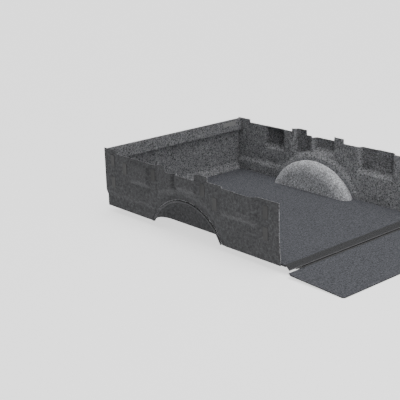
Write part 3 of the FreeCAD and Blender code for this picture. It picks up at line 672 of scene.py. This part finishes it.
def bulkhead():
    """Carpet and felt of the front panel, which is narrower between the walls' kick boards."""
    low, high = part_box("bulkhead_carpet")
    section = bulkhead_section(low, high)
    kick_top, kick_end = 102 * MM, 146 * MM
    foot_half = 769 * MM
    half = np.interp(section[:, 1], [kick_top, kick_end], [foot_half, high.x])
    part = np.linspace(-1, 1, int((high.x - low.x) / CARPET_CELL))
    y = np.repeat(section[:, :1], len(part), axis=1)
    z = np.repeat(section[:, 1:], len(part), axis=1)
    base = np.stack([half[:, None] * part, y, z], axis=2)
    step = np.gradient(section, axis=0)
    step /= np.linalg.norm(step, axis=1, keepdims=True)
    forward = np.zeros_like(base)
    forward[..., 1] = step[:, 1:2]
    forward[..., 2] = -step[:, :1]
    face = base - forward * fibres(base, seed=17.0)
    middle = base + forward * CARPET
    start = base + forward * (CARPET + AIR)
    back = base + forward * (CARPET + BACKING + fibres(base, seed=19.0, rise=FELT_RISE))
    for grid in (middle, start, back):
        grid[..., 2] = np.clip(grid[..., 2], low.z, high.z)
    piece = grid_shell("bulkhead_carpet_moulded", face[:, ::-1], middle[:, ::-1], CARPET_MATERIAL)
    finish_piece(piece, "bed_liner", "carpet", "bulkhead_carpet")
    piece = grid_shell("bulkhead_foam_backing_moulded", start[:, ::-1], back[:, ::-1], BACKING_MATERIAL)
    finish_piece(piece, "bed_liner", "foam", "bulkhead_foam_backing")


# ---- mats ----------------------------------------------------------------------------------------


def pillow_edge(distance, width, drop):
    """How far a mat's top falls towards its edge."""
    near = np.clip(1 - distance / width, 0, 1)
    return drop * near * near


def well_reach(x):
    """Half the length of a wheel well cover's footprint at floor height, at a distance from the middle."""
    crown_x, wall_x = 702 * MM, 768 * MM
    crown_half, wall_half = 442 * MM, 400 * MM
    rise = np.sqrt(np.clip(1 - ((crown_x - x) / (crown_x - NOTCH)) ** 2, 0, 1))
    fall = np.clip((x - crown_x) / (wall_x - crown_x), 0, 1) ** 2
    before_crown = NOTCH_HALF + (crown_half - NOTCH_HALF) * rise
    return np.where(x < crown_x, before_crown, crown_half - (crown_half - wall_half) * fall)


def floor_grids(half, front, rear, well_y, cell):
    """Three grids of (x, y) that make up the floor: behind, between and ahead of the wheel wells."""
    inner = np.linspace(-NOTCH, NOTCH, int(2 * NOTCH / cell))
    side = np.linspace(NOTCH, half, int((half - NOTCH) / cell * 1.6))[1:]
    xs = np.concatenate([-side[::-1], inner, side])
    reach = np.where(np.abs(xs) > NOTCH, well_reach(np.abs(xs)), NOTCH_HALF)
    part_front = np.linspace(0, 1, int((front - well_y - NOTCH_HALF) / cell))
    part_rear = np.linspace(0, 1, int((well_y - NOTCH_HALF - rear) / cell))
    ahead_y = (well_y + reach)[:, None] * (1 - part_front) + front * part_front
    behind_y = rear * (1 - part_rear) + (well_y - reach)[:, None] * part_rear
    ahead, behind = (
        np.stack([np.repeat(xs[:, None], y.shape[1], axis=1), y], axis=2)
        for y in (ahead_y, behind_y)
    )
    between = np.linspace(well_y - NOTCH_HALF, well_y + NOTCH_HALF, int(2 * NOTCH_HALF / cell))
    middle = np.stack(np.meshgrid(inner, between, indexing="ij"), axis=2)
    return [behind, middle, ahead]


def joined_shell(name, grids, top_of, bottom_of, material):
    """A closed slab over grids of (x, y) that share edges, its heights given by two functions."""
    flat = np.concatenate([grid.reshape(-1, 2) for grid in grids])
    quads, start = [], 0
    for grid in grids:
        rows, columns = grid.shape[:2]
        index = np.arange(rows * columns).reshape(rows, columns) + start
        corners = (index[:-1, :-1], index[1:, :-1], index[1:, 1:], index[:-1, 1:])
        quads.append(np.stack([corner.ravel() for corner in corners], axis=1))
        start += rows * columns
    keys = np.round(flat / (0.01 * MM)).astype(int)
    _, first, merged = np.unique(keys, axis=0, return_index=True, return_inverse=True)
    flat, quads = flat[first], merged.ravel()[np.concatenate(quads)]
    edges = {tuple(edge) for i in range(4) for edge in quads[:, [i, (i + 1) % 4]].tolist()}
    rim = np.array(sorted((a, b) for a, b in edges if (b, a) not in edges))
    count = len(flat)
    sides = np.stack([rim[:, 1], rim[:, 0], rim[:, 0] + count, rim[:, 1] + count], axis=1)
    faces = np.concatenate([quads, quads[:, ::-1] + count, sides])
    top = np.column_stack([flat, top_of(flat)])
    bottom = np.column_stack([flat, bottom_of(flat)])
    return make_object(name, np.concatenate([top, bottom]), faces.tolist(), material)


def level(height):
    """A flat top or bottom for a slab."""
    return lambda flat: np.full(len(flat), height)


def settled(height, amount, seed):
    """A gently uneven underside for a slab of foam."""
    return lambda flat: height + amount * (1 + noise_at(flat, 60 * MM, seed))


def floor_mat():
    """The floor's skin and the foam under it, cut round both wheel well covers."""
    low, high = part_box("floor_skin")
    foam_low, foam_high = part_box("floor_foam")
    cover_low, cover_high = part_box("right_wheel_well_cover")
    well_y = (cover_low.y + cover_high.y) / 2

    def skin_top(flat):
        from_side = high.x - np.abs(flat[:, 0])
        from_end = np.minimum(high.y - flat[:, 1], flat[:, 1] - low.y)
        settle = 0.5 * MM * noise_at(flat, 0.17, 5.0) + 0.25 * MM * noise_at(flat, 0.02, 8.0)
        return high.z + settle - pillow_edge(np.minimum(from_side, from_end), 9 * MM, 2.2 * MM)

    grids = floor_grids(high.x, high.y, low.y, well_y, cell=9 * MM)
    skin = joined_shell("floor_skin_pile", grids, skin_top, level(low.z + AIR), SKIN_MATERIAL)
    finish_piece(skin, "bed_liner", "mat_skin", "floor_skin")
    inset = 1 * MM
    grids = floor_grids(foam_high.x - inset, foam_high.y - inset, foam_low.y + inset, well_y, cell=26 * MM)
    underside = settled(foam_low.z, 0.3 * MM, 2.0)
    slab = joined_shell("floor_foam_slab", grids, level(foam_high.z), underside, FOAM_MATERIAL)
    finish_piece(slab, "bed_liner", "foam", "floor_foam")


# ---- tailgate ------------------------------------------------------------------------------------


def on_gate(piece):
    """Moves a piece's points from the tailgate's own axes into the row frame."""
    piece.data.transform(GATE)
    return piece


def rounded_grid(half, front, rear, corner, cell):
    """A grid of (x, y) over a plate with rounded corners."""
    inner = np.linspace(-(half - corner), half - corner, int(2 * (half - corner) / cell))
    turn = np.linspace(0, math.pi / 2, 8)[1:]
    side = half - corner + corner * np.sin(turn)
    cut = np.concatenate([(corner - corner * np.cos(turn))[::-1], 0 * inner, corner - corner * np.cos(turn)])
    xs = np.concatenate([-side[::-1], inner, side])
    part = np.linspace(0, 1, int((front - rear) / cell))
    ys = (rear + cut)[:, None] * (1 - part) + (front - cut)[:, None] * part
    return np.stack([np.repeat(xs[:, None], len(part), axis=1), ys], axis=2)


def tailgate_mat():
    """The zip-on mat: skin with softened edges, and foam."""

    def skin_top(flat):
        from_side = GATE_HALF - np.abs(flat[:, 0])
        from_end = np.minimum(GATE_FRONT - flat[:, 1], flat[:, 1] - GATE_REAR)
        settle = 0.4 * MM * noise_at(flat, 0.15, 15.0) + 0.25 * MM * noise_at(flat, 0.02, 18.0)
        edge = pillow_edge(np.minimum(from_side, from_end), GATE_EDGE, GATE_EDGE_DROP)
        return GATE_SKIN_HIGH + settle - edge

    grid = rounded_grid(GATE_HALF, GATE_FRONT, GATE_REAR, GATE_CORNER, cell=7 * MM)
    skin = joined_shell("tailgate_skin_pile", [grid], skin_top, level(GATE_SKIN_LOW), SKIN_MATERIAL)
    finish_piece(on_gate(skin), "tailgate_mat", "mat_skin", "tailgate_skin")
    inset, hem_room, thick = 1.5 * MM, 12 * MM, 9 * MM
    front, rear = GATE_FRONT - hem_room, GATE_REAR + inset
    grid = rounded_grid(GATE_HALF - inset, front, rear, GATE_CORNER - inset, cell=22 * MM)
    underside = settled(GATE_SKIN_LOW - thick, 0.3 * MM, 12.0)
    slab = joined_shell("tailgate_foam_slab", [grid], level(GATE_SKIN_LOW - AIR), underside, FOAM_MATERIAL)
    finish_piece(on_gate(slab), "tailgate_mat", "foam", "tailgate_foam")


def gap_cover():
    """One flexible cover from the floor's rear edge down to the zipper, sagging a little between them."""
    near_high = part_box("gap_cover_front_strip")[1]
    far_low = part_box("gap_cover_rear_strip")[0]
    half = near_high.x
    top = Vector((0, near_high.y, near_high.z))
    bottom = Vector((0, far_low.y, far_low.z + 4.2 * MM))
    along = bottom - top
    up = Vector((0, along.z, -along.y)).normalized()
    thick = 2.6 * MM
    part = np.linspace(0, 1, 15)
    belly = np.sin(math.pi * part)  # nothing at the seams, most half way between them
    sag = -1.2 * MM * belly
    xs = np.linspace(-half, half, 330)
    base = np.zeros((len(xs), len(part), 3))
    base[..., 0] = xs[:, None]
    base[..., 1] = top.y + along.y * part + up.y * sag
    base[..., 2] = top.z + along.z * part + up.z * sag
    ripple = 0.35 * MM * bumps(base, 50 * MM, 23.0) * belly
    lift = np.array(up)
    face = base + lift * ripple[..., None]
    back = base - lift * thick
    cover = grid_shell("gap_cover_fabric", face[:, ::-1], back[:, ::-1], GAP_MATERIAL)
    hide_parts("gap_cover_front_strip", "gap_cover_rear_strip")
    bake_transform(cover)


def hem():
    """The light binding rolled along the gap cover's rear edge, just ahead of the zipper."""
    low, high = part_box("gap_cover_rear_strip")
    centre = Vector((0, low.y + 3.2 * MM, low.z + 6.6 * MM))
    slope = Vector((0, 1, 0.97)).normalized()  # of the gap cover, up towards the floor
    up = Vector((0, -slope.z, slope.y))
    half_wide, half_tall = 3.6 * MM, 1.8 * MM
    xs = np.linspace(-high.x, high.x, 420)
    turns = np.linspace(0, 2 * math.pi, 15)[:-1]
    twist = 0.2 * MM * np.sin(xs / (3.5 * MM))
    across = half_wide * np.cos(turns)
    rise = (half_tall + twist[:, None]) * np.sin(turns)
    grid = np.zeros((len(xs), len(turns), 3))
    grid[..., 0] = xs[:, None]
    grid[..., 1] = centre.y + slope.y * across + up.y * rise
    grid[..., 2] = centre.z + slope.z * across + up.z * rise
    piece = grid_tube("gap_cover_hem", grid, HEM_MATERIAL)
    finish_piece(piece, "tailgate_mat", "gap_fabric")


def stitch():
    """One lockstitch: a six-sided outline, 2 long and 2 wide, under a ridge 1 high."""
    outline = [(-1, 0, 0), (-0.6, 1, 0), (0.6, 1, 0), (1, 0, 0), (0.6, -1, 0), (-0.6, -1, 0)]
    ridge = [(-0.5, 0, 1), (0.5, 0, 1)]
    rear, front = len(outline), len(outline) + 1
    ends = [[rear, 0, 1], [front, 2, 3], [front, 3, 4], [rear, 5, 0]]
    flanks = [[rear, 1, 2, front], [front, 4, 5, rear]]
    under = [5, 4, 3, 2, 1, 0]
    return np.array(outline + ridge), [face[::-1] for face in [*ends, *flanks, under]]


def stitching(name, y, z, half, body, gate=False):
    """A straight row of lockstitches along X."""
    pitch, long, half_wide, tall = 6 * MM, 4.4 * MM, 0.7 * MM, 0.5 * MM
    points, faces = stitch()
    one = points * np.array([long / 2, half_wide, tall])
    row = [(one + np.array([x, y, z]), faces) for x in np.arange(-half, half, pitch)]
    piece = make_object(name, *joined(row), THREAD_MATERIAL)
    if gate:
        on_gate(piece)
    finish_piece(piece, body, "tape")


def stitch_rows():
    """Thread that holds the gap cover to the floor's skin, and the rear tape to the tailgate's."""
    low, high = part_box("floor_skin")
    stitching("floor_edge_stitching", low.y + 6 * MM, high.z - 0.3 * MM, high.x - 12 * MM, "bed_liner")
    tape_half = 690 * MM
    for row, inset in enumerate((6 * MM, 10 * MM)):
        height = GATE_SKIN_HIGH - pillow_edge(inset, GATE_EDGE, GATE_EDGE_DROP) - 0.1 * MM
        name = f"tailgate_stitching_{row}"
        stitching(name, GATE_FRONT - inset, height, tape_half, "tailgate_mat", gate=True)


def tapes():
    """Woven zipper tapes, ribbed across."""
    half_thick, rib = 0.38 * MM, 0.12 * MM
    for word, near, far in (("front", 5 * MM, 20 * MM), ("rear", -20 * MM, -5 * MM)):
        node = f"zipper_tape_{word}"
        low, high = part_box(node)
        x, y = np.meshgrid(np.linspace(low.x, high.x, 560), np.linspace(near, far, 9), indexing="ij")
        ribs = rib * np.cos(np.arange(y.shape[1]) * math.pi) + 0 * x
        face = np.stack([x, y, half_thick + ribs], axis=2)
        back = np.stack([x, y, -half_thick - ribs], axis=2)
        piece = grid_shell(node + "_woven", face, back, TAPE_MATERIAL)
        finish_piece(on_gate(piece), "tailgate_mat", "tape", node)


# ---- small parts ---------------------------------------------------------------------------------


def patch_plates():
    """Loop and hook patches: thin plates with rounded corners and a nubbly face."""
    panels = dict.fromkeys(("side", "bulkhead", "header_band"), "bed_liner") | {"tailgate": "tailgate_mat"}
    for kind, material in (("loop", LOOP_MATERIAL), ("hook", HOOK_MATERIAL)):
        for panel, body in panels.items():
            gate = body == "tailgate_mat"
            for side in ("left_", "right_") if panel == "side" else ("",):
                node = f"{side}{panel}_{kind}_patches"
                plates = [patch_plate(points, gate) for points in islands(node)]
                piece = make_object(node + "_plates", *joined(plates), material, smooth=False)
                if gate:
                    on_gate(piece)
                finish_piece(piece, body, kind, node)


def patch_plate(points, gate):
    """One plate inside the box round some points, with cut corners and small nubs on both faces."""
    if gate:
        back = np.array(GATE.inverted())
        points = points @ back[:3, :3].T + back[:3, 3]
    low, high = points.min(axis=0), points.max(axis=0)
    centre, half = (low + high) / 2, (high - low) / 2
    thin = int(np.argmin(half))
    wide, long = (axis for axis in range(3) if axis != thin)
    rows, columns = (max(3, int(2 * half[axis] / (5 * MM))) for axis in (wide, long))
    u, v = np.meshgrid(np.linspace(-1, 1, rows), np.linspace(-1, 1, columns), indexing="ij")
    round_off = 1 - 0.06 * (u * v) ** 8
    nubs = 0.12 * MM * (np.add.outer(np.arange(rows), np.arange(columns)) % 2)
    grids = []
    for face in (1, -1):
        grid = np.zeros((rows, columns, 3))
        grid[..., wide] = centre[wide] + u * round_off * half[wide]
        grid[..., long] = centre[long] + v * round_off * half[long]
        grid[..., thin] = centre[thin] + face * (half[thin] - nubs)
        grids.append(grid.reshape(-1, 3))
    return np.concatenate(grids), shell_faces(rows, columns)


def tag():
    """The blank tag, a moulded plate with a raised rim."""
    low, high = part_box("blank_tag")
    centre, half = (low + high) / 2, (high - low) / 2
    corner, steps = 6 * MM, 6
    outline = []
    for quarter, (side_x, side_z) in enumerate(((1, 1), (-1, 1), (-1, -1), (1, -1))):
        for turn in np.linspace(0, math.pi / 2, steps) + quarter * math.pi / 2:
            x = side_x * (half.x - corner) + corner * math.cos(turn)
            z = side_z * (half.z - corner) + corner * math.sin(turn)
            outline.append((x, z))
    outline = np.array(outline)
    count = len(outline)
    back = (0, 0)  # each ring is (how far in from the outline, how far out from the band), in millimetres
    rim = ((0, 1.5), (0.4, 2), (1.8, 2))
    plate = (2.3, 1.4)
    rings = (back, *rim, plate)
    points = []
    for inset, height in rings:
        ring = outline * (1 - inset * MM / np.array([half.x, half.z]))
        points += [(centre.x + x, high.y - height * MM, centre.z + z) for x, z in ring]
    faces = [list(range(count))]
    for start in range(0, len(points) - count, count):
        for i in range(count):
            j = (i + 1) % count
            faces.append([start + i, start + count + i, start + count + j, start + j])
    faces.append(list(range(len(points) - count, len(points)))[::-1])
    piece = make_object("blank_tag_plate", points, faces, TAG_MATERIAL, smooth=False)
    finish_piece(piece, "bed_liner", "tag", "blank_tag")


def dress_cad():
    """Materials for the CAD nodes that show as they are."""
    for node in ("zipper_teeth_front", "zipper_teeth_rear", "zipper_top_stops", "zipper_retainer_box"):
        dress(node, TEETH_MATERIAL)
    for node in ("zipper_slider", "zipper_pull_tab"):
        dress(node, METAL_MATERIAL)


def dress(node, material):
    """Gives a CAD node a material."""
    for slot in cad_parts[node].material_slots:
        slot.material = material


# ---- studio --------------------------------------------------------------------------------------


def camera():
    """The three-quarter view over the driver's side rear corner, from above the rail."""
    place = Vector((-5.3254, -5.3319, 2.5108))
    yaw, pitch, roll = math.radians(41.17), math.radians(17.69), math.radians(-1.53)
    ahead = Vector((math.sin(yaw) * math.cos(pitch), math.cos(yaw) * math.cos(pitch), -math.sin(pitch)))
    sideways = Vector((math.cos(yaw), -math.sin(yaw), 0))
    upward = sideways.cross(ahead)
    right = sideways * math.cos(roll) + upward * math.sin(roll)
    up = upward * math.cos(roll) - sideways * math.sin(roll)
    data = bpy.data.cameras.new("camera")
    data.sensor_width = 36
    data.lens = 84.861
    data.clip_end = 100
    made = bpy.data.objects.new("camera", data)
    made.matrix_world = Matrix((
        (right.x, up.x, -ahead.x, place.x),
        (right.y, up.y, -ahead.y, place.y),
        (right.z, up.z, -ahead.z, place.z),
        (0, 0, 0, 1),
    ))
    bpy.context.scene.collection.objects.link(made)
    bpy.context.scene.camera = made


def soft_light(name, place, target, size, watts):
    """A rectangular soft box that points at a target."""
    data = bpy.data.lights.new(name, "AREA")
    data.shape = "RECTANGLE"
    data.size, data.size_y = size
    data.energy = watts
    made = bpy.data.objects.new(name, data)
    made.location = place
    made.rotation_mode = "QUATERNION"
    made.rotation_quaternion = (Vector(target) - Vector(place)).to_track_quat("-Z", "Y")
    bpy.context.scene.collection.objects.link(made)


def sky(strength, *stops):
    """A world that is lit from above: its stops are (how far up, grey)."""
    world = bpy.data.worlds.new("studio")
    world.use_nodes = True
    tree = world.node_tree
    direction = tree.nodes.new("ShaderNodeTexCoord").outputs["Generated"]
    split = tree.nodes.new("ShaderNodeSeparateXYZ")
    ramp = tree.nodes.new("ShaderNodeValToRGB")
    set_stops(ramp.color_ramp, stops)
    tree.links.new(direction, split.inputs[0])
    tree.links.new(split.outputs["Z"], ramp.inputs["Fac"])
    tree.links.new(ramp.outputs["Color"], tree.nodes["Background"].inputs["Color"])
    tree.nodes["Background"].inputs["Strength"].default_value = strength
    bpy.context.scene.world = world


def studio():
    """A pale floor, a sky that is brightest overhead, and two weak soft boxes above and behind the liner."""
    pale = Shader("studio_floor", 0.9, Emission_Color=(1, 1, 1, 1), Emission_Strength=1.2)
    pale.colour(pale.ramp(pale.noise(1.5), (0.3, 0.83), (0.7, 0.86)))
    height = cad_low.z - 0.5 * MM
    reach = 60
    corners = [(x * reach, y * reach, height) for x, y in ((-1, -1), (1, -1), (1, 1), (-1, 1))]
    floor = make_object("studio_floor", corners, [[0, 1, 2, 3]], pale.material)
    sky(2.4, (0, 0.04), (0.6, 0.03), (0.88, 0.4), (1, 1.9))
    soft_light("overhead", place=(-0.2, -2.6, 3.8), target=(0, -1, 0), size=(3.0, 2.6), watts=30)
    soft_light("rear", place=(-1.5, -6.5, 3.2), target=(0, 0.5, 0.3), size=(2.5, 2.0), watts=50)


camera()
studio()
side_walls()
well_covers()
bulkhead()
floor_mat()
tailgate_mat()
gap_cover()
hem()
tapes()
stitch_rows()
patch_plates()
tag()
dress_cad()
